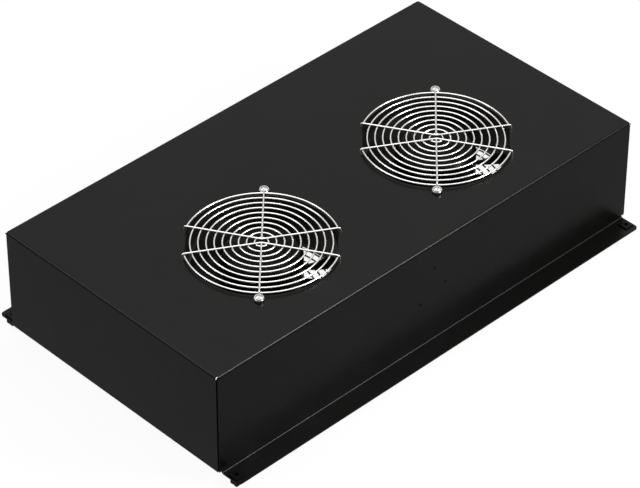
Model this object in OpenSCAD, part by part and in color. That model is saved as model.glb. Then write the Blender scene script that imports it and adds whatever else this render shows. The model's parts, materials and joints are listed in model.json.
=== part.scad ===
// Roof fan unit for an equipment enclosure: a folded steel housing, open underneath, that
// carries two axial fans with wire finger guards. The origin is at the centre of the four
// flange fasteners, on the underside of the flanges. +X runs along the housing, +Z is up.

/* [Housing] */
// Length of the housing over its end walls
body_l = 551; // [500:1:700]
// Depth of the housing over its long walls
body_w = 292.6; // [260:0.2:400]
// Height of the top sheet above the underside of the flanges
body_h = 117.5; // [100:0.5:180]
// Thickness of the folded sheet
sheet_t = 1.5; // [1:0.1:2]
// Outer radius of the folds
bend_r = 3; // [2.5:0.1:4]
// How far each flange stands out from its long wall
flange_w = 22.4; // [18:0.2:40]
// How far each flange ends short of the end walls
flange_inset = 4.1; // [1:0.1:10]
// Radius of the outer corners of the flanges
flange_corner_r = 4; // [1:0.5:8]
// Radius of the relief hole at each top corner
relief_r = 1.6; // [1:0.1:2.4]
// Gap between the end of a long wall and the outside of the end wall
seam_gap = 1; // [0.5:0.1:1.4]
// Length of the tab that ties each end wall to a long wall
tab_l = 18; // [10:1:30]

/* [Flange fasteners] */
// Distance from each end of a flange to the middle of its fastener
fixing_inset_x = 6.9; // [6:0.1:40]
// Distance from the outer edge of a flange to the middle of its fasteners
fixing_inset_y = 10.5; // [6:0.1:12]
// Width of the square head that shows on top of the flange
snap_head_w = 10.5; // [9.5:0.1:13]
// Height of that head
snap_head_h = 1.6; // [1:0.1:3]
// Width of the square shank
snap_w = 8.4; // [7.6:0.1:9]
// How far the shank reaches below the flange
snap_l = 7.5; // [5:0.5:12]
// Radius of the hole for the screw
snap_bore_r = 2.2; // [1.6:0.1:2.6]

/* [Fans] */
// Distance between the two fan axes
fan_pitch = 232.6; // [185:0.2:300]
// Distance from the outside of the near wall to the fan axes
fan_inset = 110.8; // [106:0.2:150]
// Angle of the fans' long axis about the vertical
fan_turn = 45; // [0:5:90]
// Length of a fan frame over its ears
fan_long = 172; // [170:0.5:176]
// Width of a fan frame over its flats
fan_short = 150; // [149:0.5:158]
// Depth of a fan frame
fan_d = 51; // [50:0.5:60]
// Distance from the end of an ear to its screw hole
ear_inset = 5; // [4:0.5:7]
// Radius of the screw holes in the ears and the top sheet
ear_hole_r = 2.25; // [2.1:0.05:2.6]
// Thickness of the two rims of a fan frame
rim_t = 3.5; // [2.5:0.1:5]
// How much the air duct is narrower on each side than the frame over its flats
duct_inset = 3.8; // [3:0.1:5.5]
// Thickness of the duct's wall
duct_wall = 2.4; // [1.6:0.1:3]
// How much wider the round part of each opening is than the air duct, on its radius
opening_over = 3.1; // [1:0.1:4]
// How far each flat of an opening lies inside the flat of the frame
opening_lip = 3.5; // [1:0.1:6]

/* [Impeller] */
// Number of blades
blade_n = 5; // [3:1:9]
// Outer radius of the hub
hub_r = 39.5; // [38:0.5:44]
// Thickness of the hub's wall
hub_wall = 2.2; // [1.6:0.1:2.4]
// Height of the hub
hub_h = 37; // [35:0.5:38]
// Depth of the hub's top below the top of the frame
hub_sink = 2.5; // [1.5:0.1:4]
// Radius of the rounding at the hub's top
hub_round = 9; // [3:0.5:11]
// Gap between the blade tips and the duct
tip_gap = 1.6; // [1:0.1:3]
// Thickness of a blade
blade_t = 1.8; // [1.4:0.1:3]
// Height of a blade along the axis
blade_h = 28.5; // [20:0.5:28.5]
// Pitch of a blade at the hub, measured from the plane of rotation
blade_pitch_root = 34.5; // [30:0.5:60]
// Pitch of a blade at its tip
blade_pitch_tip = 28; // [25:0.5:45]
// Angle of the first blade about the axis
blade_phase = 49.5; // [0:0.5:72]
// Angle by which the tip of a blade stands ahead of its root
blade_sweep = 10; // [-15:1:20]

/* [Motor] */
// Radius of the shaft
shaft_r = 3; // [2.5:0.1:3.5]
// Outer radius of a ball bearing
bearing_r = 9.5; // [8:0.5:10]
// Height of a ball bearing
bearing_h = 6; // [5:0.5:7]
// Radius of the stator core
stator_r = 31.4; // [30:0.1:32]
// Height of the stator core
stator_h = 18; // [12:1:20]
// Air gap between the stator core and the rotor core
air_gap = 0.5; // [0.3:0.1:0.8]
// Number of slots in the stator core
slot_n = 12; // [8:2:16]
// Number of struts that hold the motor
strut_n = 4; // [3:1:6]
// Width of a strut
strut_w = 6; // [4:0.5:9]
// Angle of the first strut about the axis
strut_phase = 0; // [0:1:90]

/* [Guards] */
// Diameter of the guard wire
wire_d = 1.8; // [1.4:0.1:2.2]
// Number of full rings
ring_n = 9; // [6:1:9]
// Radius of the smallest ring
ring_r_min = 6.5; // [5:0.1:8]
// Distance from a screw to the outermost ring, which is in two arcs
ring_inset = 6.6; // [6.6:0.1:9]
// Distance from the outermost ring to the largest full ring
ring_gap = 7.4; // [6:0.1:12]
// Height of the rings' centre line above the sheet
ring_rise = 5.6; // [4.5:0.1:8]
// Distance between the two V wires at the centre
vee_gap = 5.4; // [4.5:0.1:8]
// Angle between a V wire's arm and the fan's short axis
vee_angle = 16; // [10:0.5:20]

/* [Hardware] */
// Thread radius of the guard screws
screw_r = 2; // [1.8:0.05:2]
// Head radius of the guard screws
head_r = 4.3; // [4:0.1:4.6]
// Head height of the guard screws
head_h = 2.9; // [2:0.1:3.4]
// Thickness of a washer
washer_t = 0.9; // [0.6:0.1:1.2]
// Width of a nut over its flats
nut_w = 7; // [6.5:0.1:7]
// Height of a nut
nut_h = 3.2; // [2.8:0.1:3.6]

/* [Wiring] */
// Height of the middle of the terminal block
block_z = 58.2; // [50:0.1:62]
// Distance between the block's two screws along the wall
block_fix_x = 33.3; // [32:0.1:36]
// Distance between the block's two screws in height
block_fix_z = 10.3; // [9.8:0.1:10.6]
// Place of the terminal block along the wall
block_x = 0.4; // [-10:0.1:10]
// Place of the earth screw along the wall
earth_x = 1.5; // [-8:0.1:8]
// Height of the earth screw
earth_z = 88.2; // [85:0.1:92]
// Radius of the three small holes in the near wall
wall_hole_r = 1.9; // [1.85:0.05:2.1]
// Radius of a lead over its insulation
lead_r = 1.3; // [1:0.1:1.4]

/* [Hidden] */
$fn = 64;

// Overrun of every cut past the face it opens
cut = 1;
// Clearance between parts that slide into each other without turning
slip = 0.1;
// Radial clearance of the shaft in its bearings
running = 0.05;
// Height of the end walls' lower edge above the underside of the flanges
end_clear = 2;
end_lift = sheet_t + end_clear;
// Length of each flange, distances between the fasteners and height at which the fans hang
flange_l = body_l - 2 * flange_inset;
fixing_x = flange_l - 2 * fixing_inset_x;
fixing_y = body_w + 2 * (flange_w - fixing_inset_y);
fan_z = body_h - sheet_t;
near_wall = -body_w / 2 + sheet_t;

// Sizes of the frame, the openings and the guards that follow from the driving ones
fan_offset = body_w / 2 - fan_inset;
ear_pitch = fan_long - 2 * ear_inset;
duct_r = fan_short / 2 - duct_inset;
opening_r = duct_r + opening_over;
opening_flats = fan_short - 2 * opening_lip;
ring_r_outer = ear_pitch / 2 - ring_inset;
ring_r_max = ring_r_outer - ring_gap;

// Sizes of the motor that follow from the driving ones
hub_top = -hub_sink;
disc_share = 1.8;
hub_disc_t = disc_share * hub_wall;
hub_floor = hub_top - hub_disc_t;
hub_low = hub_top - hub_h;
base_t = 3;
base_share = 1.2;
base_r = hub_r - base_share * hub_wall;
base_wall = 1.8;
base_gap = 1.2;
base_top = hub_low - base_gap;
boss_share = 2.4;
boss_r = boss_share * shaft_r;
boss_h = 5.5;
spring_h = 1.7;
bearing_top = hub_floor - boss_h - spring_h;
tube_wall = 2;
tube_r = bearing_r + tube_wall;
shoulder_w = 1.6;
shoulder_r = bearing_r - shoulder_w;
tube_foot = -fan_d + base_t;
clip_t = 1;
clip_gap = 0.2;
clip_inset = 1;
shaft_foot = tube_foot + clip_inset;
lower_bearing_low = shaft_foot + clip_inset + clip_t + clip_gap;
stator_drop = 4.5;
stator_top = bearing_top - stator_drop;
winding_h = 4.4;
winding_lift = 2.6;
winding_inset = 3.2;
winding_r_in = tube_r + winding_lift;
winding_r_out = stator_r - winding_inset;
winding_gap = 0.25;
slot_clear = 0.4;
slot_r_in = winding_r_in - slot_clear;
rotor_wall = hub_r - hub_wall - stator_r - air_gap;

// Sizes of the blades
blade_drop = 7;
blade_top = hub_top - blade_drop;
blade_root_r = hub_r - hub_wall / 2;
blade_tip_r = duct_r - tip_gap;
blade_camber_share = 0.08;
blade_edge_share = 0.45;
blade_nose_share = 0.15;
blade_rows = 6;
blade_cols = 10;

// Sizes of the guards
ring_step = (ring_r_max - ring_r_min) / (ring_n - 1);
weld_share = 0.15;
weld = weld_share * wire_d;
rib_rise = ring_rise - wire_d + weld;
eye_slack = 0.3;
eye_r = screw_r + wire_d / 2 + eye_slack;
rib_end_share = 0.6;
rib_end_r = vee_gap / 2 + rib_end_share * wire_d;
washer_over = 0.4;
rib_foot_r = ear_pitch / 2 - head_r - washer_over - wire_d / 2 - slip;
knee_share = 0.5;
rib_knee_r = rib_foot_r - knee_share * wire_d;
lap_share = 0.35;
vee_end_r = ring_r_outer + wire_d;
ring_fn = 96;
ring_start = 40;
wire_sides = 8;
wire_roll = 180 / wire_sides;
screw_tail = 1.6;
recess_share = 0.16;
recess_arm_share = 0.55;
recess_deep_share = 0.55;
head_edge_share = 0.45;
slot_share = 0.3;

// Sizes of the terminal block and its leads
block_margin_x = 4.35;
block_margin_z = 10.85;
block_l = block_fix_x + 2 * block_margin_x;
block_h = block_fix_z + 2 * block_margin_z;
block_t = 6;
pole_pitch = 10;
bar_l = 22;
bar_w = 5;
bar_h = 6;
bar_bore_slack = 0.25;
bar_bore_r = lead_r + bar_bore_slack;
bar_bore_l = 6;
barrier_h = 7.5;
barrier_t = 1.2;
clamp_r = 1.9;
clamp_h = 1.4;
clamp_inset = 3.2;
fixing_head_r = 2.9;
fixing_head_h = 1.8;
fixing_r = wall_hole_r - slip / 2;
bar_y = near_wall + block_t + bar_w / 2;
lead_space = 1;
lead_gap = 2 * lead_r + lead_space;
bush_l = 5;
bush_margin = 1.5;
bush_h = lead_gap + 2 * (lead_r + bush_margin);
bush_w = 6;
bush_lift = 0.4;
bush_z = fan_z - fan_d + rim_t + bush_h / 2 + bush_lift;
clip_w = 8;
clip_wall = 1.4;
clip_play = 0.3;
clip_shares = [0.6, 0.8];
level_shares = [0.48, 0.54];
turn_shares = [0.3, 0.8];
stray_share = 0.25;
fall_shares = [0.04, 0.2, 0.6];
tag_t = 0.8;
tag_r = 4;
tag_l = 11;
tag_barrel_r = 1.9;
tag_neck = 1;
tag_hold = 3;
loop_shares = [0.35, 0.75, 0.45];
sag_shares = [0.06, 0.5];
spring_w = 2.2;
clip_ring_w = 2.5;
lead_ring_n = 8;
lead_steps = 5;

// Outline of the housing seen from one end, width along x and height along y
module arch_outline(w, h, r) {
    translate([-w / 2, 0])
        square([w, h - r]);
    translate([-w / 2 + r, 0])
        square([w - 2 * r, h]);
    for (s = [-1, 1])
        translate([s * (w / 2 - r), h - r])
            circle(r);
}

// Block with its four top edges rounded
module arch_block(l, w, h, r) {
    intersection() {
        rotate([90, 0, 90])
            linear_extrude(l, center = true)
                arch_outline(w, h, r);
        rotate([90, 0, 0])
            linear_extrude(w, center = true)
                arch_outline(l, h, r);
    }
}

// One flange with rounded outer corners, on the side of positive y
module flange() {
    outer = body_w / 2 + flange_w;
    inner = body_w / 2 - sheet_t;
    linear_extrude(sheet_t) {
        translate([-flange_l / 2, inner])
            square([flange_l, outer - inner - flange_corner_r]);
        translate([-flange_l / 2 + flange_corner_r, inner])
            square([flange_l - 2 * flange_corner_r, outer - inner]);
        for (s = [-1, 1])
            translate([s * (flange_l / 2 - flange_corner_r), outer - flange_corner_r])
                circle(flange_corner_r);
    }
}

// Rounded fold between a long wall and its flange, on the side of positive y
module flange_fold() {
    inner_r = bend_r - sheet_t;
    translate([0, body_w / 2, 0])
        rotate([90, 0, 90])
            linear_extrude(flange_l, center = true)
                difference() {
                    translate([-sheet_t, 0])
                        square([sheet_t + inner_r, sheet_t + inner_r]);
                    translate([inner_r, sheet_t + inner_r])
                        circle(inner_r);
                }
}

// Rounds the inner lower edge of that fold
module fold_round() {
    translate([0, body_w / 2 - sheet_t, 0])
        rotate([90, 0, 90])
            linear_extrude(flange_l + 2 * cut, center = true)
                difference() {
                    translate([-cut, -cut])
                        square(bend_r + cut);
                    translate([bend_r, bend_r])
                        circle(bend_r);
                }
}

module housing_shell() {
    inner_w = body_w - 2 * sheet_t;
    difference() {
        arch_block(body_l, body_w, body_h, bend_r);
        translate([0, 0, -cut])
            arch_block(body_l - 2 * sheet_t, inner_w, body_h - sheet_t + cut, bend_r - sheet_t);
        // lower edge of the end walls
        for (s = [-1, 1])
            translate([s * body_l / 2, 0, end_lift / 2 - cut / 2])
                cube([2 * (flange_inset + seam_gap), body_w + 2 * cut, end_lift + cut], center = true);
        // open seam where a long wall meets an end wall
        for (s = [-1, 1])
            for (t = [-1, 1])
                translate([s * body_l / 2, t * body_w / 2, (body_h - bend_r) / 2])
                    cube([2 * seam_gap, 2 * sheet_t, body_h - bend_r], center = true);
    }
    // tabs that tie the end walls to the long walls
    for (s = [-1, 1])
        for (t = [-1, 1])
            translate([s * (body_l / 2 - tab_l / 2 - sheet_t / 2), t * (inner_w - sheet_t) / 2,
                       (end_lift + body_h - bend_r) / 2])
                cube([tab_l, sheet_t, body_h - bend_r - end_lift], center = true);
}

module fan_opening() {
    intersection() {
        cylinder(r = opening_r, h = sheet_t + 2 * cut);
        translate([-opening_r, -opening_flats / 2, 0])
            cube([2 * opening_r, opening_flats, sheet_t + 2 * cut]);
    }
    for (s = [-1, 1])
        translate([s * ear_pitch / 2, 0, 0])
            cylinder(r = ear_hole_r, h = sheet_t + 2 * cut);
}

module wall_hole(x, z) {
    translate([x, -body_w / 2 - cut, z])
        rotate([-90, 0, 0])
            cylinder(r = wall_hole_r, h = sheet_t + 2 * cut);
}

module housing() {
    color([0.1, 0.1, 0.1])
        difference() {
            union() {
                housing_shell();
                for (turn = [0, 180])
                    rotate(turn) {
                        flange();
                        flange_fold();
                    }
            }
            for (turn = [0, 180])
                rotate(turn)
                    fold_round();
            for (s = [-1, 1])
                translate([s * fan_pitch / 2, -fan_offset, fan_z - cut])
                    rotate(fan_turn)
                        fan_opening();
            for (s = [-1, 1])
                for (t = [-1, 1]) {
                    translate([s * (body_l / 2 - relief_r), t * (body_w / 2 - relief_r), fan_z - bend_r])
                        cylinder(r = relief_r, h = sheet_t + bend_r + cut);
                    translate([s * fixing_x / 2, t * fixing_y / 2, sheet_t / 2])
                        cube([snap_w + 2 * slip, snap_w + 2 * slip, sheet_t + 2 * cut], center = true);
                }
            wall_hole(earth_x, earth_z);
            wall_hole(block_x + block_fix_x / 2, block_z + block_fix_z / 2);
            wall_hole(block_x - block_fix_x / 2, block_z - block_fix_z / 2);
        }
}

// Square plastic nut that snaps into the flange, with a slotted shank
module snap_nut() {
    slot = 1;
    slot_top = -1.5;
    difference() {
        union() {
            translate([-snap_head_w / 2, -snap_head_w / 2, sheet_t])
                cube([snap_head_w, snap_head_w, snap_head_h]);
            translate([-snap_w / 2, -snap_w / 2, -snap_l])
                cube([snap_w, snap_w, snap_l + sheet_t]);
        }
        translate([0, 0, -snap_l - cut])
            cylinder(r = snap_bore_r, h = snap_l + sheet_t + snap_head_h + 2 * cut);
        for (turn = [0, 90])
            rotate(turn)
                translate([-snap_w / 2 - cut, -slot / 2, -snap_l - cut])
                    cube([snap_w + 2 * cut, slot, snap_l + slot_top + cut]);
    }
}

module flange_snap_nuts() {
    color([0.08, 0.08, 0.08])
        for (s = [-1, 1])
            for (t = [-1, 1])
                translate([s * fixing_x / 2, t * fixing_y / 2, 0])
                    snap_nut();
}

// Puts its children on the axis of a fan, at the top face of the fan's frame
module at_fan(side) {
    translate([side * fan_pitch / 2, -fan_offset, fan_z])
        rotate(fan_turn)
            children();
}

// Round plate cut off by two flats
module rim_plate(z) {
    intersection() {
        translate([0, 0, z])
            cylinder(r = fan_long / 2, h = rim_t);
        translate([-fan_long / 2, -fan_short / 2, z])
            cube([fan_long, fan_short, rim_t]);
    }
}

module fan_frame() {
    flare = 2;
    flare_h = 7;
    color([0.16, 0.16, 0.17]) {
        difference() {
            union() {
                rim_plate(-rim_t);
                rim_plate(-fan_d);
                translate([0, 0, -fan_d])
                    cylinder(r = duct_r + duct_wall, h = fan_d);
            }
            translate([0, 0, -fan_d - cut])
                cylinder(r = duct_r, h = fan_d + 2 * cut);
            translate([0, 0, -flare_h])
                cylinder(r1 = duct_r, r2 = duct_r + flare, h = flare_h + slip / 2);
            translate([0, 0, -fan_d - slip / 2])
                cylinder(r1 = duct_r + flare, r2 = duct_r, h = flare_h + slip / 2);
            for (s = [-1, 1])
                translate([s * ear_pitch / 2, 0, -fan_d - cut])
                    cylinder(r = ear_hole_r, h = fan_d + 2 * cut);
        }
        motor_base();
    }
}

// Cup, bearing tube and struts that hold the motor in the frame
module motor_base() {
    difference() {
        union() {
            translate([0, 0, -fan_d])
                cylinder(r = base_r, h = base_top + fan_d);
            for (i = [0 : strut_n - 1])
                rotate(strut_phase + i * 360 / strut_n)
                    translate([base_r - base_wall, -strut_w / 2, -fan_d])
                        cube([duct_r - base_r + base_wall + duct_wall / 2, strut_w, base_top + fan_d]);
        }
        translate([0, 0, tube_foot])
            cylinder(r = base_r - base_wall, h = base_top - tube_foot + cut);
    }
    difference() {
        translate([0, 0, tube_foot])
            cylinder(r = tube_r, h = bearing_top - tube_foot);
        translate([0, 0, tube_foot])
            cylinder(r = shoulder_r, h = bearing_top - tube_foot + cut);
        translate([0, 0, bearing_top - bearing_h])
            cylinder(r = bearing_r, h = bearing_h + cut);
        translate([0, 0, tube_foot])
            cylinder(r = bearing_r, h = lower_bearing_low + bearing_h - tube_foot);
    }
}

function blade_point(u, v, side) =
    let (r = blade_root_r + (blade_tip_r - blade_root_r) * u,
         pitch = blade_pitch_root + (blade_pitch_tip - blade_pitch_root) * u,
         bow = blade_camber_share * blade_h * 4 * v * (1 - v),
         thick = side * blade_t / 2 * (blade_edge_share + (1 - blade_edge_share)
             * sin(180 * (blade_nose_share + (1 - blade_nose_share) * v))),
         along = -blade_h * (v - 0.5) / tan(pitch) + (thick + bow) * sin(pitch),
         up = blade_h * (v - 0.5) + (thick + bow) * cos(pitch),
         turn = deg(along / r) + blade_sweep * u)
    [r * cos(turn), r * sin(turn), up + blade_top - blade_h / 2];

function deg(x) = x * 180 / PI;

// One blade, a thin twisted plate with a hub end and a tip
module blade() {
    rows = blade_rows + 1;
    cols = blade_cols + 1;
    count = rows * cols;
    points = [for (side = [1, -1], i = [0 : blade_rows], j = [0 : blade_cols])
        blade_point(i / blade_rows, j / blade_cols, side)];
    at = function (side, i, j) side * count + i * cols + j;
    faces = [
        for (i = [0 : blade_rows - 1], j = [0 : blade_cols - 1])
            each [[at(0, i, j), at(0, i + 1, j + 1), at(0, i, j + 1)],
                  [at(0, i, j), at(0, i + 1, j), at(0, i + 1, j + 1)],
                  [at(1, i, j), at(1, i, j + 1), at(1, i + 1, j + 1)],
                  [at(1, i, j), at(1, i + 1, j + 1), at(1, i + 1, j)]],
        for (j = [0 : blade_cols - 1])
            each [[at(0, 0, j), at(1, 0, j + 1), at(1, 0, j)],
                  [at(0, 0, j), at(0, 0, j + 1), at(1, 0, j + 1)],
                  [at(0, blade_rows, j), at(1, blade_rows, j), at(1, blade_rows, j + 1)],
                  [at(0, blade_rows, j), at(1, blade_rows, j + 1), at(0, blade_rows, j + 1)]],
        for (i = [0 : blade_rows - 1])
            each [[at(0, i, 0), at(1, i, 0), at(1, i + 1, 0)],
                  [at(0, i, 0), at(1, i + 1, 0), at(0, i + 1, 0)],
                  [at(0, i, blade_cols), at(1, i + 1, blade_cols), at(1, i, blade_cols)],
                  [at(0, i, blade_cols), at(0, i + 1, blade_cols), at(1, i + 1, blade_cols)]]
    ];
    polyhedron(points, faces);
}

// Cup-shaped hub with a boss for the shaft
module hub() {
    rotate_extrude()
        difference() {
            union() {
                translate([0, hub_low])
                    square([hub_r, hub_h - hub_round]);
                translate([0, hub_low])
                    square([hub_r - hub_round, hub_h]);
                intersection() {
                    translate([hub_r - hub_round, hub_top - hub_round])
                        circle(hub_round);
                    translate([0, hub_low])
                        square([hub_r, hub_h]);
                }
            }
            difference() {
                translate([0, hub_low - cut])
                    square([hub_r - hub_wall, hub_floor - hub_low + cut]);
                translate([0, hub_floor - boss_h])
                    square([boss_r, boss_h]);
                translate([hub_r - hub_round, hub_floor - hub_round])
                    difference() {
                        square(hub_round);
                        circle(hub_round - hub_wall);
                    }
            }
            translate([0, hub_floor - boss_h - cut])
                square([shaft_r + slip / 2, hub_wall + boss_h + cut]);
        }
}

module impeller() {
    color([0.13, 0.13, 0.13]) {
        hub();
        for (i = [0 : blade_n - 1])
            rotate(blade_phase + i * 360 / blade_n)
                blade();
    }
}

module ring(r_in, r_out, z, h) {
    translate([0, 0, z])
        difference() {
            cylinder(r = r_out, h = h);
            translate([0, 0, -cut])
                cylinder(r = r_in, h = h + 2 * cut);
        }
}

module rotor_core() {
    color([0.45, 0.45, 0.47])
        ring(stator_r + air_gap, stator_r + air_gap + rotor_wall, stator_top - stator_h, stator_h);
}

module shaft() {
    top = hub_floor + hub_wall;
    color([0.7, 0.7, 0.72])
        translate([0, 0, shaft_foot])
            cylinder(r = shaft_r, h = top - shaft_foot);
}

module bearing(z) {
    color([0.6, 0.6, 0.62])
        ring(shaft_r + running, bearing_r, z, bearing_h);
}

module stator_core() {
    tooth_gap = 2.2;
    color([0.5, 0.5, 0.52])
        difference() {
            ring(tube_r + slip / 2, stator_r, stator_top - stator_h, stator_h);
            for (i = [0 : slot_n - 1])
                rotate(i * 360 / slot_n) {
                    translate([slot_r_in, -tooth_gap, stator_top - stator_h - cut])
                        cube([winding_r_out - slot_r_in + slip, 2 * tooth_gap, stator_h + 2 * cut]);
                    translate([winding_r_out, -tooth_gap / 2, stator_top - stator_h - cut])
                        cube([stator_r - winding_r_out + cut, tooth_gap, stator_h + 2 * cut]);
                }
        }
}

// Copper in the slots and the end turns above and below the core
module windings() {
    bar = 1.9;
    color([0.72, 0.4, 0.2]) {
        for (z = [stator_top + winding_gap, stator_top - stator_h - winding_gap - winding_h])
            ring(winding_r_in, winding_r_out, z, winding_h);
        for (i = [0 : slot_n - 1])
            rotate(i * 360 / slot_n)
                translate([winding_r_in, -bar, stator_top - stator_h - winding_gap - winding_h / 2])
                    cube([winding_r_out - winding_r_in - slip, 2 * bar, stator_h + 2 * winding_gap + winding_h]);
    }
}

// Spring washer between the hub's boss and the upper bearing
module preload_spring() {
    color([0.75, 0.75, 0.76])
        ring(shaft_r + slip, shaft_r + spring_w, bearing_top + slip, spring_h - 2 * slip);
}

module shaft_clip() {
    color([0.3, 0.3, 0.3])
        ring(shaft_r + slip / 2, shaft_r + clip_ring_w, lower_bearing_low - clip_gap - clip_t, clip_t);
}

// Centre of the bush at which the leads leave a fan frame
function bush_y() = -fan_offset - duct_r - duct_wall;

module lead_bush(side) {
    color([0.07, 0.07, 0.07])
        difference() {
            translate([side * fan_pitch / 2 - bush_w / 2, bush_y() - bush_l, bush_z - bush_h / 2])
                cube([bush_w, bush_l, bush_h]);
            for (t = [-1, 1])
                translate([side * fan_pitch / 2, bush_y() - bush_l - cut, bush_z + t * lead_gap / 2])
                    rotate([-90, 0, 0])
                        cylinder(r = lead_r + slip, h = bush_l - slip);
        }
}

// Smooth path through points, with several steps to each span
function spline_point(p, i, t) =
    let (a = p[max(i - 1, 0)], b = p[i], c = p[i + 1], d = p[min(i + 2, len(p) - 1)])
    0.5 * ((2 * b) + (c - a) * t + (2 * a - 5 * b + 4 * c - d) * t * t
        + (3 * b - a - 3 * c + d) * t * t * t);

function spline(p) = [
    for (i = [0 : len(p) - 2], k = [0 : lead_steps - 1]) spline_point(p, i, k / lead_steps),
    p[len(p) - 1]
];

function unit(v) = v / norm(v);

// Round tube along a path that never runs along the reference direction
module tube_along(path, r, ref) {
    n = lead_ring_n;
    last = len(path) - 1;
    points = [for (i = [0 : last])
        let (t = unit(path[min(i + 1, last)] - path[max(i - 1, 0)]),
             a = unit(cross(t, ref)),
             b = cross(a, t))
        for (k = [0 : n - 1])
            path[i] + r * (a * cos(360 * k / n) + b * sin(360 * k / n))];
    faces = [
        [for (k = [n - 1 : -1 : 0]) k],
        [for (k = [0 : n - 1]) last * n + k],
        for (i = [0 : last - 1], k = [0 : n - 1])
            each [[i * n + k, i * n + (k + 1) % n, (i + 1) * n + k],
                  [i * n + (k + 1) % n, (i + 1) * n + (k + 1) % n, (i + 1) * n + k]]
    ];
    polyhedron(points, faces);
}

// Height of the pole that a fan's upper or lower lead goes to
function lead_pole(t) = block_z + (t - 1) * pole_pitch / 2;

// End of a lead inside the bar of its pole
function block_end(side) = block_x + side * (bar_l / 2 - bar_bore_l + slip);

// Route of one lead from its bush to its pole
function lead_route(side, t) =
    let (x = side * fan_pitch / 2,
         y = bush_y() - bush_l,
         z = bush_z + t * lead_gap / 2,
         pole_z = lead_pole(t),
         turn = y - bar_y,
         run = block_end(side) - x)
    [[x, y + bush_l / 2, z], [x, y, z], [x, y - turn_shares[0] * turn, z],
     [x - side * stray_share * turn, y - turn_shares[1] * turn, z - fall_shares[0] * (z - pole_z)],
     [x - side * turn, bar_y, z - fall_shares[1] * (z - pole_z)],
     [(2 * x - side * turn + run * level_shares[0]) / 2, bar_y, z - fall_shares[2] * (z - pole_z)],
     for (share = concat(level_shares, clip_shares)) [x + run * share, bar_y, pole_z],
     [block_x + side * (bar_l / 2 + lead_r), bar_y, pole_z],
     [block_end(side), bar_y, pole_z]];

module leads(side) {
    for (t = [-1, 1])
        color(t > 0 ? [0.35, 0.2, 0.12] : [0.1, 0.2, 0.5])
            tube_along(spline(lead_route(side, t)), lead_r, [0, 0, 1]);
}

// Saddles on the wall that hold the two leads of each fan
module lead_clips() {
    open = 2 * (lead_r + clip_play);
    h = pole_pitch + open + 2 * clip_wall;
    depth = bar_y - near_wall + open / 2 + clip_wall;
    color([0.85, 0.85, 0.82])
        for (side = [-1, 1], share = clip_shares) {
            x = side * fan_pitch / 2 + (block_end(side) - side * fan_pitch / 2) * share;
            difference() {
                translate([x - clip_w / 2, near_wall, (lead_pole(-1) + lead_pole(1)) / 2 - h / 2])
                    cube([clip_w, depth, h]);
                for (t = [-1, 1])
                    translate([x - clip_w / 2 - cut, bar_y - open / 2, lead_pole(t) - open / 2])
                        cube([clip_w + 2 * cut, open, open]);
            }
        }
}

// Eight-sided wire along a row of straight runs that lap over each other at the joints
module bent_wire(points) {
    lap = lap_share * wire_d;
    last = len(points) - 2;
    for (i = [0 : last]) {
        v = points[i + 1] - points[i];
        flat = norm([v.x, v.y]);
        before = i > 0 ? lap : 0;
        after = i < last ? lap : 0;
        translate(points[i])
            rotate([0, atan2(flat, v.z), atan2(v.y, v.x)])
                translate([0, 0, -before])
                    rotate(wire_roll)
                        cylinder(d = wire_d, h = norm(v) + before + after, $fn = wire_sides);
    }
}

// Eight-sided wire ring or arc, centred on its radius
module wire_ring(r, z, angle = 360, roll = wire_roll) {
    translate([0, 0, z])
        rotate(angle < 360 ? -angle / 2 : ring_start)
            rotate_extrude(angle = angle, $fn = ring_fn)
                translate([r, 0])
                    rotate(roll)
                        circle(d = wire_d, $fn = wire_sides);
}

// Finger guard that stands on the plane z = 0
module guard() {
    rest = wire_d / 2;
    screw_at = ear_pitch / 2;
    color([0.8, 0.8, 0.8]) {
        for (i = [0 : ring_n - 1])
            wire_ring(ring_r_min + i * ring_step, ring_rise);
        for (turn = [0, 180])
            rotate(turn) {
                wire_ring(ring_r_outer, ring_rise, 2 * (90 - vee_angle));
                // radial wire with the eye that the screw goes through
                bent_wire([[rib_end_r, 0, rib_rise], [rib_knee_r, 0, rib_rise],
                           [rib_foot_r, 0, rest], [screw_at - eye_r, 0, rest]]);
                translate([screw_at, 0, 0])
                    wire_ring(eye_r, rest, roll = 0);
                vee_wire();
            }
    }
}

// One of the two V wires, with both feet on the sheet
module vee_wire() {
    foot = [vee_end_r * sin(vee_angle), vee_end_r * cos(vee_angle)];
    bent_wire([[foot.x, -foot.y, 0], [foot.x, -foot.y, rib_rise], [vee_gap / 2, 0, rib_rise],
               [foot.x, foot.y, rib_rise], [foot.x, foot.y, 0]]);
}

module outlet_guard(side) {
    at_fan(side)
        translate([0, 0, sheet_t])
            guard();
}

module inlet_guard(side) {
    at_fan(side)
        translate([0, 0, -fan_d])
            mirror([0, 0, 1])
                guard();
}

// Pan head screw that points down from z = 0, with a cross recess
module pan_screw(length) {
    arm = recess_arm_share * head_r;
    deep = recess_deep_share * head_h;
    recess = 2 * head_r * recess_share;
    difference() {
        union() {
            cylinder(r = head_r, h = head_edge_share * head_h);
            intersection() {
                cylinder(r = head_r, h = head_h);
                translate([0, 0, head_h - (head_r * head_r + head_h * head_h) / (2 * head_h)])
                    sphere(r = (head_r * head_r + head_h * head_h) / (2 * head_h));
            }
            translate([0, 0, -length])
                cylinder(r = screw_r, h = length + cut);
        }
        for (turn = [0, 90])
            rotate(turn)
                translate([-arm, -recess / 2, head_h - deep])
                    cube([2 * arm, recess, deep + cut]);
    }
}

module hex_nut(z) {
    translate([0, 0, z])
        difference() {
            cylinder(r = nut_w / 2 / cos(30), h = nut_h, $fn = 6);
            translate([0, 0, -cut])
                cylinder(r = screw_r + slip / 2, h = nut_h + 2 * cut);
        }
}

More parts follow.
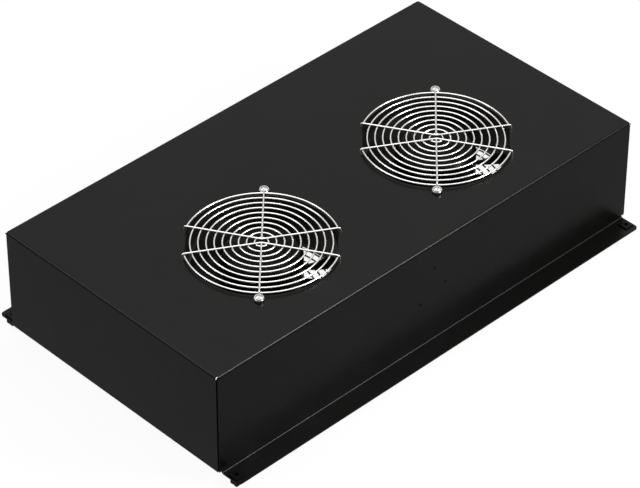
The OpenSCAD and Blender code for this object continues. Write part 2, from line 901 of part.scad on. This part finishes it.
// Puts its children at the four ear holes, pointing up at the height z
module at_ears(z) {
    for (side = [-1, 1])
        at_fan(side)
            for (s = [-1, 1])
                translate([s * ear_pitch / 2, 0, z])
                    children();
}

module outlet_screws() {
    grip = washer_t + wire_d + sheet_t + rim_t + nut_h + screw_tail;
    color([0.85, 0.85, 0.86])
        at_ears(sheet_t + wire_d + washer_t)
            pan_screw(grip);
}

module outlet_washers() {
    color([0.8, 0.8, 0.8])
        at_ears(sheet_t + wire_d)
            ring(screw_r + slip, head_r + washer_over, 0, washer_t);
}

module outlet_nuts() {
    color([0.75, 0.75, 0.75])
        at_ears(-rim_t)
            hex_nut(-nut_h);
}

module inlet_screws() {
    grip = washer_t + wire_d + rim_t + nut_h + screw_tail;
    color([0.85, 0.85, 0.86])
        at_ears(-fan_d - wire_d - washer_t)
            mirror([0, 0, 1])
                pan_screw(grip);
}

module inlet_washers() {
    color([0.8, 0.8, 0.8])
        at_ears(-fan_d - wire_d)
            ring(screw_r + slip, head_r + washer_over, -washer_t, washer_t);
}

module inlet_nuts() {
    color([0.75, 0.75, 0.75])
        at_ears(-fan_d + rim_t)
            hex_nut(0);
}

// Heights of the three poles: two for the fan leads and the top one for earth
function poles() = [for (i = [-1 : 1]) block_z + i * pole_pitch];

// Turns a shape that is built upwards so that it stands on the near wall at x and z
module on_wall(x, z) {
    translate([x, near_wall, z])
        rotate([-90, 0, 0])
            children();
}

module terminal_base() {
    color([0.9, 0.9, 0.87])
        difference() {
            union() {
                on_wall(block_x, block_z)
                    translate([-block_l / 2, -block_h / 2, 0])
                        cube([block_l, block_h, block_t]);
                for (i = [0 : 3])
                    on_wall(block_x, block_z + (i - 1.5) * pole_pitch)
                        translate([-bar_l / 2, -barrier_t / 2, 0])
                            cube([bar_l, barrier_t, block_t + barrier_h]);
            }
            for (s = [-1, 1])
                on_wall(block_x + s * block_fix_x / 2, block_z + s * block_fix_z / 2)
                    translate([0, 0, -cut])
                        cylinder(r = fixing_r + slip, h = block_t + 2 * cut);
        }
}

module terminal_bars() {
    color([0.75, 0.6, 0.3])
        for (z = poles())
            difference() {
                translate([block_x - bar_l / 2, bar_y - bar_w / 2, z - bar_h / 2])
                    cube([bar_l, bar_w, bar_h]);
                for (s = [-1, 1])
                    translate([block_x + s * (bar_l / 2 - bar_bore_l), bar_y, z])
                        rotate([0, s * 90, 0])
                            cylinder(r = bar_bore_r, h = bar_bore_l + cut);
            }
}

module terminal_screws() {
    color([0.8, 0.8, 0.78])
        for (z = poles(), s = [-1, 1])
            translate([block_x + s * (bar_l / 2 - clamp_inset), bar_y + bar_w / 2, z])
                rotate([-90, 0, 0])
                    difference() {
                        cylinder(r = clamp_r, h = clamp_h);
                        translate([-clamp_r - cut, -clamp_r * slot_share / 2, clamp_h / 2])
                            cube([2 * (clamp_r + cut), clamp_r * slot_share, clamp_h]);
                    }
}

// Screw into the near wall, its head at a height above the wall and its end flush outside
module wall_screw(x, z, seat) {
    flush = 0.2 * sheet_t;
    slot_w = fixing_head_r * slot_share;
    on_wall(x, z)
        difference() {
            union() {
                translate([0, 0, seat])
                    cylinder(r = fixing_head_r, h = fixing_head_h);
                translate([0, 0, flush - sheet_t])
                    cylinder(r = fixing_r, h = seat + sheet_t);
            }
            translate([-fixing_head_r - cut, -slot_w / 2, seat + fixing_head_h / 2])
                cube([2 * (fixing_head_r + cut), slot_w, fixing_head_h]);
        }
}

module terminal_fixing_screws() {
    color([0.7, 0.7, 0.7])
        for (s = [-1, 1])
            wall_screw(block_x + s * block_fix_x / 2, block_z + s * block_fix_z / 2, block_t);
}

module earth_screw() {
    color([0.7, 0.7, 0.7])
        wall_screw(earth_x, earth_z, tag_t);
}

// Ring tag under the earth screw's head, with the barrel that holds the earth lead
module earth_tag() {
    color([0.8, 0.8, 0.75])
        on_wall(earth_x, earth_z)
            difference() {
                union() {
                    cylinder(r = tag_r, h = tag_t);
                    translate([-tag_l, -tag_r / 2, 0])
                        cube([tag_l, tag_r, tag_t]);
                    translate([-tag_l, 0, tag_barrel_r])
                        rotate([0, 90, 0])
                            cylinder(r = tag_barrel_r, h = tag_l - tag_r - tag_neck);
                }
                translate([0, 0, -cut])
                    cylinder(r = fixing_r + slip, h = tag_t + 2 * cut);
                translate([-tag_l - cut, 0, tag_barrel_r])
                    rotate([0, 90, 0])
                        cylinder(r = lead_r + slip, h = tag_l - tag_r);
            }
}

// The earth lead loops from its tag to the top pole
module earth_lead() {
    start_x = earth_x - tag_l;
    end_x = block_end(-1);
    y = near_wall + tag_barrel_r;
    pole_z = block_z + pole_pitch;
    drop = earth_z - pole_z;
    route = [[start_x + tag_hold, y, earth_z], [start_x, y, earth_z],
             [start_x - loop_shares[0] * drop, y, earth_z - sag_shares[0] * drop],
             [start_x - loop_shares[1] * drop, (y + bar_y) / 2, earth_z - sag_shares[1] * drop],
             [start_x - loop_shares[2] * drop, bar_y, pole_z + sag_shares[0] * drop],
             [block_x - bar_l / 2 - lead_r, bar_y, pole_z], [end_x, bar_y, pole_z]];
    color([0.45, 0.6, 0.15])
        tube_along(spline(route), lead_r, [0, 1, 0]);
}

housing();
flange_snap_nuts();
at_fan(-1) fan_frame();  // left_fan_frame
at_fan(-1) impeller();  // left_impeller
at_fan(-1) rotor_core();  // left_rotor_core
at_fan(-1) shaft();  // left_shaft
at_fan(-1) bearing(bearing_top - bearing_h);  // left_upper_bearing
at_fan(-1) bearing(lower_bearing_low);  // left_lower_bearing
at_fan(-1) stator_core();  // left_stator_core
at_fan(-1) windings();  // left_windings
at_fan(-1) preload_spring();  // left_preload_spring
at_fan(-1) shaft_clip();  // left_shaft_clip
lead_bush(-1);  // left_lead_bush
leads(-1);  // left_leads
outlet_guard(-1);  // left_outlet_guard
inlet_guard(-1);  // left_inlet_guard
at_fan(1) fan_frame();  // right_fan_frame
at_fan(1) impeller();  // right_impeller
at_fan(1) rotor_core();  // right_rotor_core
at_fan(1) shaft();  // right_shaft
at_fan(1) bearing(bearing_top - bearing_h);  // right_upper_bearing
at_fan(1) bearing(lower_bearing_low);  // right_lower_bearing
at_fan(1) stator_core();  // right_stator_core
at_fan(1) windings();  // right_windings
at_fan(1) preload_spring();  // right_preload_spring
at_fan(1) shaft_clip();  // right_shaft_clip
lead_bush(1);  // right_lead_bush
leads(1);  // right_leads
outlet_guard(1);  // right_outlet_guard
inlet_guard(1);  // right_inlet_guard
outlet_screws();
outlet_washers();
outlet_nuts();
inlet_screws();
inlet_washers();
inlet_nuts();
terminal_base();
terminal_bars();
terminal_screws();
terminal_fixing_screws();
earth_screw();
earth_tag();
earth_lead();
lead_clips();
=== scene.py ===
"""Dresses the enclosure roof fan: camera, finishes, round wire guards and leads, floor, light."""
import json
import math

import bpy
import numpy as np
from mathutils import Matrix, Vector


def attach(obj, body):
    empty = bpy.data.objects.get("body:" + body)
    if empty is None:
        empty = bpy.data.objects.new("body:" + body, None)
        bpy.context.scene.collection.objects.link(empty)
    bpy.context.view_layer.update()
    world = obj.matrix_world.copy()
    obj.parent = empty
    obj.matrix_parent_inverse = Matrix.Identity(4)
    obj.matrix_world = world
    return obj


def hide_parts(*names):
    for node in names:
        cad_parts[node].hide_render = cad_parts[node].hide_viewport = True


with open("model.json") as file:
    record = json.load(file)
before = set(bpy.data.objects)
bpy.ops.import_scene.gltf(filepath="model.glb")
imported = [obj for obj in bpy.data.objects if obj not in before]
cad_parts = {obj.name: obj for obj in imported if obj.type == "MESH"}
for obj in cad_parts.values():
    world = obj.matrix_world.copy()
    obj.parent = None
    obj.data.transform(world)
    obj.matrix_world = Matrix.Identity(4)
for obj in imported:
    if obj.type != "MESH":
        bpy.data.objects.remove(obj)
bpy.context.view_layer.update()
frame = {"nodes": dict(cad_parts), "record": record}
NODES = frame["nodes"]
MM = 0.001

# Sizes repeated from the model, in millimetres
FAN_PITCH, FAN_OFFSET, FAN_TURN = 232.6, 35.5, 45.0
FAN_TOP, FAN_DEPTH, SHEET = 116.0, 51.0, 1.5
WIRE = 1.8
RINGS = np.linspace(6.5, 67.0, 9)
RING_OUTER = 74.4
VEE_GAP, VEE_ANGLE = 5.4, 16.0
EAR_PITCH, SCREW_R = 162.0, 2.0
NEAR_WALL = -144.8
BAR_Y, BUSH_Y, BUSH_Z = -136.3, -109.1, 73.5
BLOCK_X, BLOCK_Z, EARTH_X, EARTH_Z = 0.4, 58.2, 1.5, 88.2
LEAD_R = 1.3
POLE_PITCH = 5.0
# Distances from the middle of the terminal block: where a lead enters a bar and where it ends in it
BAR_MOUTH, BAR_END = 12.3, 5.1
FLOOR_Z = -7.5

# Height of the guards' rings over the sheet, in millimetres. It is lower than in the model.
RING_RISE = 3.3
# Wire guard shape, in millimetres: slack in the eye, distance from the screw at which the rib has
# come down to the sheet, run of that slope, and radii of the bends
EYE_SLACK, FOOT_REACH, FOOT_RUN = 0.3, 5.7, 0.9
RIB_BEND, VEE_BEND = 1.2, 3.0
# Height of the ribs above the rings, and distance of their inner ends from the points of the V
# wires, in wire thicknesses
RIB_LIFT, RIB_END = 0.9, 0.6

# Green and yellow lead: faces around it, rings for each step of the twist, faces in the stripe
EARTH_SIDES, STRIPE_TWIST, STRIPE_WIDTH = 16, 3, 5

# Camera: angles in degrees, focal length and picture width in pixels, and the eye's place along
# the camera's own axes, then upward, in millimetres
AZIMUTH, ELEVATION, ROLL = -44.16, 38.66, 0.13
FOCAL_PX, PICTURE_PX, SENSOR_MM = 3404.3, 640.0, 36.0
EYE_RIGHT, EYE_UP, EYE_BACK, EYE_LIFT = -4.2, 25.2, 3331.4, 1.2

# Part of a texture's range that is used, and where the colour ramp starts and ends
TEXTURE_LOW, TEXTURE_HIGH = 0.3, 0.7
RAMP_LOW, RAMP_HIGH = 0.32, 0.68
# Length of one band of the wave texture at a scale of 1
WAVE_PERIOD = 0.314

# Floor: half its width in metres, share of white seen directly, brightness seen in reflections
FLOOR_HALF, FLOOR_WHITE, FLOOR_MIRRORED = 6, 0.94, 0.45
# World: brightness as a light
SOFT_LIGHT = 0.42


def put(name, data):
    """Adds an object to the scene."""
    made = bpy.data.objects.new(name, data)
    bpy.context.scene.collection.objects.link(made)
    return made


# Camera of the photograph
def place_camera():
    azimuth, elevation, roll = (math.radians(a) for a in (AZIMUTH, ELEVATION, ROLL))
    back = Vector((math.sin(azimuth) * math.cos(elevation),
                   -math.cos(azimuth) * math.cos(elevation), math.sin(elevation)))
    right = (-back).cross(Vector((0, 0, 1))).normalized()
    up = right.cross(-back)
    c, s = math.cos(roll), math.sin(roll)
    right, up = c * right + s * up, -s * right + c * up
    data = bpy.data.cameras.new("camera")
    data.sensor_fit = "HORIZONTAL"
    data.sensor_width = SENSOR_MM
    data.lens = FOCAL_PX * SENSOR_MM / PICTURE_PX
    data.clip_end = 50.0
    camera = put("camera", data)
    turn = Matrix((right, up, back)).transposed()
    eye = EYE_RIGHT * right + EYE_UP * up + EYE_BACK * back + Vector((0, 0, EYE_LIFT))
    camera.matrix_world = Matrix.Translation(eye * MM) @ turn.to_4x4()
    bpy.context.scene.camera = camera


place_camera()


# Materials
def add(tree, kind, **values):
    made = tree.nodes.new(kind)
    for key, value in values.items():
        if hasattr(made, key):
            setattr(made, key, value)
        else:
            made.inputs[key.replace("_", " ")].default_value = value
    return made


def spread(tree, source, low, high):
    """Maps a texture's middle range onto low to high."""
    made = add(tree, "ShaderNodeMapRange")
    made.inputs["From Min"].default_value = TEXTURE_LOW
    made.inputs["From Max"].default_value = TEXTURE_HIGH
    made.inputs["To Min"].default_value = low
    made.inputs["To Max"].default_value = high
    tree.links.new(source, made.inputs["Value"])
    return made.outputs["Result"]


def noise(tree, grain_mm, detail=3.0):
    """Noise in the frame's own millimetres, so its grain has a real size."""
    place = add(tree, "ShaderNodeTexCoord")
    scaled = add(tree, "ShaderNodeMapping")
    scaled.inputs["Scale"].default_value = [1 / (grain_mm * MM)] * 3
    tree.links.new(place.outputs["Object"], scaled.inputs["Vector"])
    made = add(tree, "ShaderNodeTexNoise", Scale=1.0, Detail=detail)
    tree.links.new(scaled.outputs["Vector"], made.inputs["Vector"])
    return made.outputs["Fac"]


def finish(name, dark, light, rough, metallic=0.0, specular=0.5, grain=30.0, rough_grain=8.0,
           bump_grain=0.8, bump_mm=0.02):
    """Principled finish with colour, roughness and surface grain of real size."""
    made = bpy.data.materials.new(name)
    made.use_nodes = True
    tree = made.node_tree
    shader = tree.nodes["Principled BSDF"]
    shader.inputs["Metallic"].default_value = metallic
    shader.inputs["Specular IOR Level"].default_value = specular
    ramp = add(tree, "ShaderNodeValToRGB")
    ramp.color_ramp.elements[0].position = RAMP_LOW
    ramp.color_ramp.elements[1].position = RAMP_HIGH
    ramp.color_ramp.elements[0].color = (*dark, 1)
    ramp.color_ramp.elements[1].color = (*light, 1)
    tree.links.new(noise(tree, grain), ramp.inputs["Fac"])
    tree.links.new(ramp.outputs["Color"], shader.inputs["Base Color"])
    roughness = spread(tree, noise(tree, rough_grain), *rough)
    tree.links.new(roughness, shader.inputs["Roughness"])
    bump = add(tree, "ShaderNodeBump", Strength=1.0, Distance=bump_mm * MM)
    tree.links.new(noise(tree, bump_grain, 2.0), bump.inputs["Height"])
    tree.links.new(bump.outputs["Normal"], shader.inputs["Normal"])
    return made


def banded(made, pitch_mm, depth_mm):
    """Adds fine level ridges, such as laminations or turns of wire."""
    tree = made.node_tree
    shader = tree.nodes["Principled BSDF"]
    place = add(tree, "ShaderNodeTexCoord")
    wave = add(tree, "ShaderNodeTexWave", bands_direction="Z",
               Scale=WAVE_PERIOD / (pitch_mm * MM), Distortion=0.0)
    tree.links.new(place.outputs["Object"], wave.inputs["Vector"])
    bump = add(tree, "ShaderNodeBump", Strength=1.0, Distance=depth_mm * MM)
    old = shader.inputs["Normal"].links[0].from_socket
    tree.links.new(old, bump.inputs["Normal"])
    tree.links.new(wave.outputs["Fac"], bump.inputs["Height"])
    tree.links.new(bump.outputs["Normal"], shader.inputs["Normal"])
    return made


def grey(a):
    return (a, a, a)


PAINT = finish("black_powder_coat", (0.0017, 0.0017, 0.0015), (0.0024, 0.0024, 0.0021),
               (0.26, 0.32), specular=0.14, grain=90, rough_grain=25, bump_grain=1.3, bump_mm=0.006)
NYLON = finish("black_nylon", grey(0.0016), grey(0.0024), (0.42, 0.5), specular=0.12,
               bump_grain=0.5, bump_mm=0.01)
CAST = finish("cast_frame", (0.006, 0.0058, 0.0045), (0.011, 0.0105, 0.008), (0.42, 0.55),
              specular=0.13, grain=12, bump_grain=0.9, bump_mm=0.03)
PLASTIC = finish("impeller_plastic", grey(0.0008), grey(0.0013), (0.32, 0.38), specular=0.07,
                 grain=40, bump_grain=0.4, bump_mm=0.008)
CORE = banded(finish("core_steel", grey(0.22), grey(0.36), (0.35, 0.5), metallic=1.0), 0.5, 0.05)
BEARING = finish("bearing_steel", grey(0.55), grey(0.68), (0.12, 0.2), metallic=1.0, bump_mm=0.002)
COPPER = banded(finish("copper", (0.55, 0.2, 0.08), (0.75, 0.32, 0.13), (0.25, 0.4), metallic=1.0),
                0.5, 0.12)
WIRE_METAL = finish("guard_wire", (0.74, 0.73, 0.71), (0.86, 0.85, 0.83), (0.2, 0.3), metallic=1.0,
                    grain=14, rough_grain=4, bump_grain=0.7, bump_mm=0.004)
ZINC = finish("zinc_fastener", (0.6, 0.6, 0.6), (0.74, 0.74, 0.73), (0.18, 0.28), metallic=1.0,
              grain=4, rough_grain=1.5, bump_grain=0.4, bump_mm=0.005)
DARK_SCREW = finish("dark_screw", grey(0.002), grey(0.004), (0.45, 0.6), specular=0.1, grain=2)
BLOCK = finish("block_plastic", (0.66, 0.65, 0.58), (0.72, 0.71, 0.65), (0.36, 0.46),
               bump_mm=0.01)
BRASS = finish("brass", (0.62, 0.43, 0.16), (0.78, 0.58, 0.26), (0.22, 0.36), metallic=1.0,
               grain=3)
BROWN = finish("lead_brown", (0.10, 0.045, 0.022), (0.13, 0.06, 0.03), (0.36, 0.44))
BLUE = finish("lead_blue", (0.02, 0.07, 0.30), (0.03, 0.09, 0.36), (0.36, 0.44))
EARTH = finish("earth_insulation", (0.05, 0.28, 0.06), (0.07, 0.34, 0.08), (0.36, 0.44))
YELLOW = finish("earth_stripe", (0.72, 0.6, 0.05), (0.8, 0.66, 0.08), (0.36, 0.44))

BY_SLOT = {"black_powder_coat": PAINT, "black_nylon": NYLON, "cast_frame": CAST,
           "impeller_plastic": PLASTIC, "core_steel": CORE, "bearing_steel": BEARING,
           "copper": COPPER, "lead_insulation": BROWN, "earth_insulation": EARTH,
           "guard_wire": WIRE_METAL, "zinc_fastener": ZINC, "dark_screw": DARK_SCREW,
           "block_plastic": BLOCK, "brass": BRASS}
for part in frame["record"]["subparts"]:
    carrier = NODES[part["node"]]
    carrier.data.materials.clear()
    carrier.data.materials.append(BY_SLOT[part["material_slot"]])


# Mesh helpers, in millimetres
def mesh_piece(name, verts, faces, material):
    """Mesh with smooth sides and flat end caps."""
    data = bpy.data.meshes.new(name)
    data.from_pydata([tuple(v * MM) for v in verts], [], faces)
    data.polygons.foreach_set("use_smooth", [len(face) == 4 for face in faces])
    data.materials.append(material)
    data.update()
    return put(name, data)


def units(rows):
    return rows / np.linalg.norm(rows, axis=1)[:, None]


def tube(path, radius, sides=12, closed=False):
    """Round tube along a path, with end caps where it is open. Returns vertices and faces."""
    path = np.array(path, float)
    count = len(path)
    ahead = np.roll(path, -1, 0) - path
    behind = path - np.roll(path, 1, 0)
    if not closed:
        ahead[-1], behind[0] = behind[-1], ahead[0]
    tangent = units(ahead) + units(behind)
    tangent = units(tangent)
    start = np.eye(3)[np.argmin(abs(tangent[0]))]
    across = np.cross(tangent[0], start)
    crosswise = []
    for t in tangent:
        across = across - t * across.dot(t)
        across /= np.linalg.norm(across)
        crosswise.append(across)
    angle = np.arange(sides) * 2 * np.pi / sides
    verts = []
    for p, t, a in zip(path, tangent, crosswise):
        b = np.cross(t, a)
        verts += [p + radius * (math.cos(k) * a + math.sin(k) * b) for k in angle]
    faces = []
    for i in range(count if closed else count - 1):
        j = (i + 1) % count
        for k in range(sides):
            m = (k + 1) % sides
            faces.append((i * sides + k, i * sides + m, j * sides + m, j * sides + k))
    if not closed:
        faces.append(tuple(range(sides - 1, -1, -1)))
        faces.append(tuple((count - 1) * sides + k for k in range(sides)))
    return np.array(verts), faces


def join(parts):
    """One mesh from several pairs of vertices and faces."""
    verts, faces, start = [], [], 0
    for v, f in parts:
        verts.append(v)
        faces += [tuple(i + start for i in face) for face in f]
        start += len(v)
    return np.concatenate(verts), faces


def bent(points, radius, steps=6):
    """Path through points with each corner rounded to a radius.

    Extra points near both ends and around each bend keep the straight runs' shading straight.
    """
    near_end, near_bend, most_of_run = 0.2, 0.1, 0.45
    points = [np.array(p, float) for p in points]
    first = points[1] - points[0]
    path = [points[0], points[0] + near_end * first / np.linalg.norm(first)]
    for a, b, c in zip(points, points[1:], points[2:]):
        before, after = np.linalg.norm(a - b), np.linalg.norm(c - b)
        u, v = (a - b) / before, (c - b) / after
        half = math.acos(max(-1.0, min(1.0, u.dot(v)))) / 2
        reach = min(radius / math.tan(half), most_of_run * before, most_of_run * after)
        start, end = b + u * reach, b + v * reach
        path.append(start + near_bend * reach * u)
        for k in range(steps + 1):
            t = k / steps
            path.append((1 - t) ** 2 * start + 2 * t * (1 - t) * b + t * t * end)
        path.append(end + near_bend * reach * v)
    last = points[-2] - points[-1]
    return path + [points[-1] + near_end * last / np.linalg.norm(last), points[-1]]


def arc(radius, z, start, end, count):
    """Level arc between two angles in degrees."""
    return [(radius * math.cos(a), radius * math.sin(a), z)
            for a in np.radians(np.linspace(start, end, count))]


def at_fan(verts, side, base, up):
    """Moves a form built at the origin onto a fan's axis, upright or upside down."""
    verts = np.array(verts, float)
    turn = math.radians(FAN_TURN)
    x = verts[:, 0] * math.cos(turn) - verts[:, 1] * math.sin(turn)
    y = verts[:, 0] * math.sin(turn) + verts[:, 1] * math.cos(turn)
    return np.stack([x + side * FAN_PITCH / 2, y - FAN_OFFSET, base + up * verts[:, 2]], 1)


# Finger guards of round wire
def guard_form():
    """One guard around the origin, standing on z = 0: rings, outer arcs, ribs and V wires."""
    half = WIRE / 2
    parts = [tube(arc(r, RING_RISE, 0, 360, max(32, int(1.6 * r)) + 1)[:-1], half, closed=True)
             for r in RINGS]
    rib = RING_RISE + RIB_LIFT * WIRE
    eye = SCREW_R + half + EYE_SLACK
    screw = EAR_PITCH / 2
    drop = screw - FOOT_REACH
    foot_x = (RING_OUTER + WIRE) * math.sin(math.radians(VEE_ANGLE))
    foot_y = (RING_OUTER + WIRE) * math.cos(math.radians(VEE_ANGLE))
    reach = 90 - VEE_ANGLE
    outer = arc(RING_OUTER, RING_RISE, -reach, reach, 90)
    loop = [(screw + eye * math.cos(a), eye * math.sin(a), half)
            for a in np.radians(np.linspace(180, -150, 30))]
    lead_in = bent([(VEE_GAP / 2 + RIB_END * WIRE, 0, rib), (drop - FOOT_RUN, 0, rib),
                    (drop, 0, half), (screw - eye, 0, half)], RIB_BEND)
    vee = bent([(foot_x, -foot_y, 0), (foot_x, -foot_y, rib), (VEE_GAP / 2, 0, rib),
                (foot_x, foot_y, rib), (foot_x, foot_y, 0)], VEE_BEND)
    wires = [tube(path, half) for path in (outer, lead_in[:-1] + loop, vee)]
    for turn in (1, -1):
        flip = np.array((turn, turn, 1))
        parts += [(v * flip, f) for v, f in wires]
    return join(parts)


def make_guards():
    verts, faces = guard_form()
    turned = [tuple(reversed(f)) for f in faces]
    for side, word in ((-1, "left"), (1, "right")):
        above = at_fan(verts, side, FAN_TOP + SHEET, 1)
        below = at_fan(verts, side, FAN_TOP - FAN_DEPTH, -1)
        top = mesh_piece(word + "_outlet_guard_wires", above, faces, WIRE_METAL)
        low = mesh_piece(word + "_inlet_guard_wires", below, turned, WIRE_METAL)
        for made, node in ((top, word + "_outlet_guard"), (low, word + "_inlet_guard")):
            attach(made, "root")
            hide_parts(node)


make_guards()


# Leads on the routes of the model
def spline(points, steps=10):
    """Smooth curve through the points."""
    p = [np.array(q, float) for q in points]
    path = []
    for i in range(len(p) - 1):
        a, b, c, d = p[max(i - 1, 0)], p[i], p[i + 1], p[min(i + 2, len(p) - 1)]
        for t in np.arange(steps) / steps:
            path.append(0.5 * (2 * b + (c - a) * t + (2 * a - 5 * b + 4 * c - d) * t * t
                               + (3 * b - a - 3 * c + d) * t ** 3))
    return path + [p[-1]]


def lead_route(side, t):
    """From a fan's bush down and along the near wall to a bar; t is 1 or -1 for the two leads."""
    x, y, z = side * FAN_PITCH / 2, BUSH_Y - 5.0, BUSH_Z + t * 1.8
    pole = BLOCK_Z + (t - 1) * POLE_PITCH
    turn = y - BAR_Y
    end = BLOCK_X + side * BAR_END
    run = end - x
    fall = z - pole
    return ([(x, y + 2.5, z), (x, y, z), (x, y - 0.3 * turn, z),
             (x - side * 0.25 * turn, y - 0.8 * turn, z - 0.04 * fall),
             (x - side * turn, BAR_Y, z - 0.2 * fall),
             ((2 * x - side * turn + 0.48 * run) / 2, BAR_Y, z - 0.6 * fall)]
            + [(x + run * share, BAR_Y, pole) for share in (0.48, 0.54, 0.6, 0.8)]
            + [(BLOCK_X + side * BAR_MOUTH, BAR_Y, pole), (end, BAR_Y, pole)])


def make_leads():
    for side, word in ((-1, "left"), (1, "right")):
        for t, shade, skin in ((1, "brown", BROWN), (-1, "blue", BLUE)):
            verts, faces = tube(spline(lead_route(side, t)), LEAD_R, 14)
            made = mesh_piece(f"{word}_{shade}_lead", verts, faces, skin)
            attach(made, "root")
            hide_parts(word + "_leads")


def make_earth_lead():
    start, y, pole = EARTH_X - 11.0, NEAR_WALL + 1.9, BLOCK_Z + 2 * POLE_PITCH
    drop = EARTH_Z - pole
    route = [(start + 3, y, EARTH_Z), (start, y, EARTH_Z),
             (start - 0.35 * drop, y, EARTH_Z - 0.06 * drop),
             (start - 0.75 * drop, (y + BAR_Y) / 2, EARTH_Z - 0.5 * drop),
             (start - 0.45 * drop, BAR_Y, pole + 0.06 * drop), (BLOCK_X - BAR_MOUTH, BAR_Y, pole),
             (BLOCK_X - BAR_END, BAR_Y, pole)]
    verts, faces = tube(spline(route), LEAD_R, EARTH_SIDES)
    made = mesh_piece("earth_lead_green", verts, faces, EARTH)
    made.data.materials.append(YELLOW)
    for face in made.data.polygons:
        ring, place = divmod(face.index, EARTH_SIDES)
        in_stripe = (ring // STRIPE_TWIST + place) % EARTH_SIDES < STRIPE_WIDTH
        if len(face.vertices) == 4 and in_stripe:
            face.material_index = 1
    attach(made, "root")
    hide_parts("earth_lead")


make_leads()
make_earth_lead()


# Floor, light and the white background
def make_floor():
    data = bpy.data.meshes.new("floor")
    corners = ((-1, -1), (1, -1), (1, 1), (-1, 1))
    data.from_pydata([(x * FLOOR_HALF, y * FLOOR_HALF, FLOOR_Z * MM) for x, y in corners], [],
                     [(0, 1, 2, 3)])
    floor = put("floor", data)
    made = bpy.data.materials.new("floor")
    made.use_nodes = True
    tree = made.node_tree
    tree.nodes.clear()
    plain = add(tree, "ShaderNodeBsdfDiffuse", Color=(0.9, 0.9, 0.9, 1))
    white = add(tree, "ShaderNodeEmission", Color=(1, 1, 1, 1), Strength=1.0)
    seen = add(tree, "ShaderNodeLightPath")
    either = add(tree, "ShaderNodeMath", operation="MAXIMUM")
    share = add(tree, "ShaderNodeMath", operation="MULTIPLY")
    dim = add(tree, "ShaderNodeEmission", Color=(1, 1, 1, 1), Strength=FLOOR_MIRRORED)
    mirrored = add(tree, "ShaderNodeMixShader")
    mix = add(tree, "ShaderNodeMixShader")
    out = add(tree, "ShaderNodeOutputMaterial")
    tree.links.new(seen.outputs["Is Camera Ray"], either.inputs[0])
    tree.links.new(seen.outputs["Is Transmission Ray"], either.inputs[1])
    tree.links.new(either.outputs[0], share.inputs[0])
    share.inputs[1].default_value = FLOOR_WHITE
    tree.links.new(share.outputs[0], mix.inputs["Fac"])
    tree.links.new(plain.outputs[0], mix.inputs[1])
    tree.links.new(white.outputs[0], mix.inputs[2])
    tree.links.new(seen.outputs["Is Glossy Ray"], mirrored.inputs["Fac"])
    tree.links.new(mix.outputs[0], mirrored.inputs[1])
    tree.links.new(dim.outputs[0], mirrored.inputs[2])
    # seen from below, the floor lets the underside show
    face = add(tree, "ShaderNodeNewGeometry")
    clear = add(tree, "ShaderNodeBsdfTransparent")
    under = add(tree, "ShaderNodeMixShader")
    tree.links.new(face.outputs["Backfacing"], under.inputs["Fac"])
    tree.links.new(mirrored.outputs[0], under.inputs[1])
    tree.links.new(clear.outputs[0], under.inputs[2])
    tree.links.new(under.outputs[0], out.inputs["Surface"])
    data.materials.append(made)


def make_world():
    world = bpy.data.worlds.new("studio")
    bpy.context.scene.world = world
    world.use_nodes = True
    tree = world.node_tree
    tree.nodes.clear()
    soft = add(tree, "ShaderNodeBackground", Color=(1, 1, 1, 1), Strength=SOFT_LIGHT)
    white = add(tree, "ShaderNodeBackground", Color=(1, 1, 1, 1), Strength=1.0)
    seen = add(tree, "ShaderNodeLightPath")
    mix = add(tree, "ShaderNodeMixShader")
    out = add(tree, "ShaderNodeOutputWorld")
    # reflections see a darker band low down, which draws the line under the near edge
    place = add(tree, "ShaderNodeTexCoord")
    split = add(tree, "ShaderNodeSeparateXYZ")
    band = add(tree, "ShaderNodeMapRange")
    for key, value in (("From Min", 0.05), ("From Max", 0.5), ("To Min", 0.05), ("To Max", 1.0)):
        band.inputs[key].default_value = value
    lift = add(tree, "ShaderNodeMath", operation="MAXIMUM")
    tree.links.new(place.outputs["Generated"], split.inputs[0])
    tree.links.new(split.outputs["Z"], band.inputs["Value"])
    tree.links.new(band.outputs["Result"], lift.inputs[0])
    tree.links.new(seen.outputs["Is Camera Ray"], lift.inputs[1])
    tree.links.new(lift.outputs[0], white.inputs["Strength"])
    either = add(tree, "ShaderNodeMath", operation="MAXIMUM")
    third = add(tree, "ShaderNodeMath", operation="MAXIMUM")
    tree.links.new(seen.outputs["Is Camera Ray"], either.inputs[0])
    tree.links.new(seen.outputs["Is Glossy Ray"], either.inputs[1])
    tree.links.new(either.outputs[0], third.inputs[0])
    tree.links.new(seen.outputs["Is Transmission Ray"], third.inputs[1])
    tree.links.new(third.outputs[0], mix.inputs["Fac"])
    tree.links.new(soft.outputs[0], mix.inputs[1])
    tree.links.new(white.outputs[0], mix.inputs[2])
    tree.links.new(mix.outputs[0], out.inputs["Surface"])


def lamp(name, place, size, power):
    """Square lamp that faces the origin; size in metres, power in watts."""
    data = bpy.data.lights.new(name, "AREA")
    data.shape = "RECTANGLE"
    data.size = data.size_y = size
    data.energy = power
    made = put(name, data)
    made.location = place
    made.rotation_euler = (-Vector(place)).to_track_quat("-Z", "Y").to_euler()


make_floor()
make_world()
lamp("key", (0.8, -1.3, 1.2), 0.6, 34)
lamp("fill", (-1.5, 1.2, 1.3), 0.8, 9)
lamp("top", (0.2, 0.5, 2.4), 1.6, 22)
bpy.context.scene.view_settings.view_transform = "Standard"
